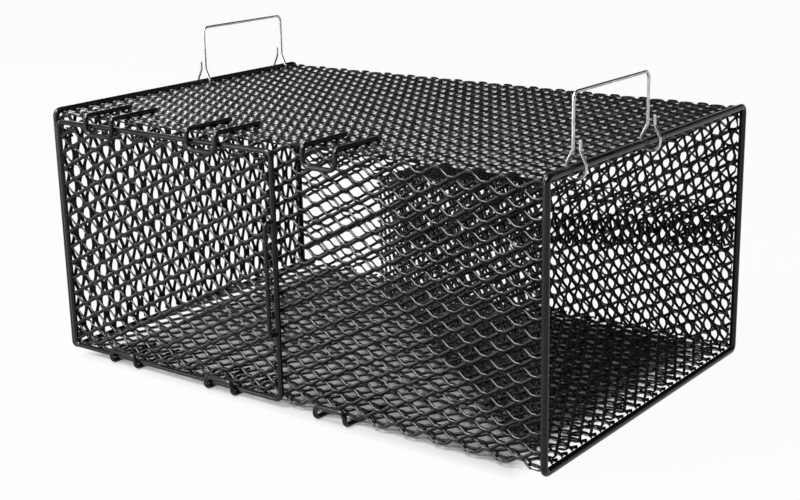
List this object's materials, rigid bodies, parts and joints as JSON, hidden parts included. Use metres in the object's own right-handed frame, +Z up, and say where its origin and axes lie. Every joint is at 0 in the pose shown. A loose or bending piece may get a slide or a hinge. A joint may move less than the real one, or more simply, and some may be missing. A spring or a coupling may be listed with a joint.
{
  "type": "minnow trap",
  "caption": "Rectangular expanded-metal fish trap with an entrance funnel at one end, a sliding door on the long side and wire bails to hang it by.",
  "frame": {"origin": "centre of the bounding box of the whole trap, at the level it stands on", "axes": "+X along the trap to the open funnel end, +Y away from the door side, +Z up"},
  "size_m": [0.4736, 0.3118, 0.2507],
  "materials": {
    "vinyl_coat": "black vinyl dip over steel, satin",
    "zinc_wire": "galvanised steel wire"
  },
  "bodies": {
    "trap": {"left_end_frame": "vinyl_coat", "right_end_frame": "vinyl_coat", "left_end_mesh": "vinyl_coat", "top_mesh": "vinyl_coat", "bottom_mesh": "vinyl_coat", "back_mesh_lower": "vinyl_coat", "back_mesh_upper": "vinyl_coat", "front_mesh": "vinyl_coat", "front_mesh_head": "vinyl_coat", "front_mesh_sill": "vinyl_coat", "front_mesh_jamb": "vinyl_coat", "funnel_top_mesh": "vinyl_coat", "funnel_bottom_mesh": "vinyl_coat", "funnel_front_mesh": "vinyl_coat", "funnel_back_mesh_upper": "vinyl_coat", "funnel_back_mesh_lower": "vinyl_coat", "top_guide_1": "vinyl_coat", "top_guide_2": "vinyl_coat", "top_guide_3": "vinyl_coat", "bottom_guide_1": "vinyl_coat", "bottom_guide_2": "vinyl_coat", "bottom_guide_3": "vinyl_coat"},
    "door": {"door_frame": "vinyl_coat", "door_mesh": "vinyl_coat", "door_pull": "vinyl_coat"},
    "left_bail": {"left_bail": "zinc_wire"},
    "right_bail": {"right_bail": "zinc_wire"}
  },
  "joints": [
    {"name": "door_slide", "type": "slide", "parent": "trap", "child": "door", "axis": [1, 0, 0], "range_m": [0, 0.216]},
    {"name": "left_bail_swing", "type": "hinge", "parent": "trap", "child": "left_bail", "pos_m": [-0.2285, 0.07954, 0.2016], "axis": [0, 1, 0], "range_deg": [-150, 65]},
    {"name": "right_bail_swing", "type": "hinge", "parent": "trap", "child": "right_bail", "pos_m": [0.2285, -0.05346, 0.2016], "axis": [0, 1, 0], "range_deg": [-65, 190]}
  ]
}
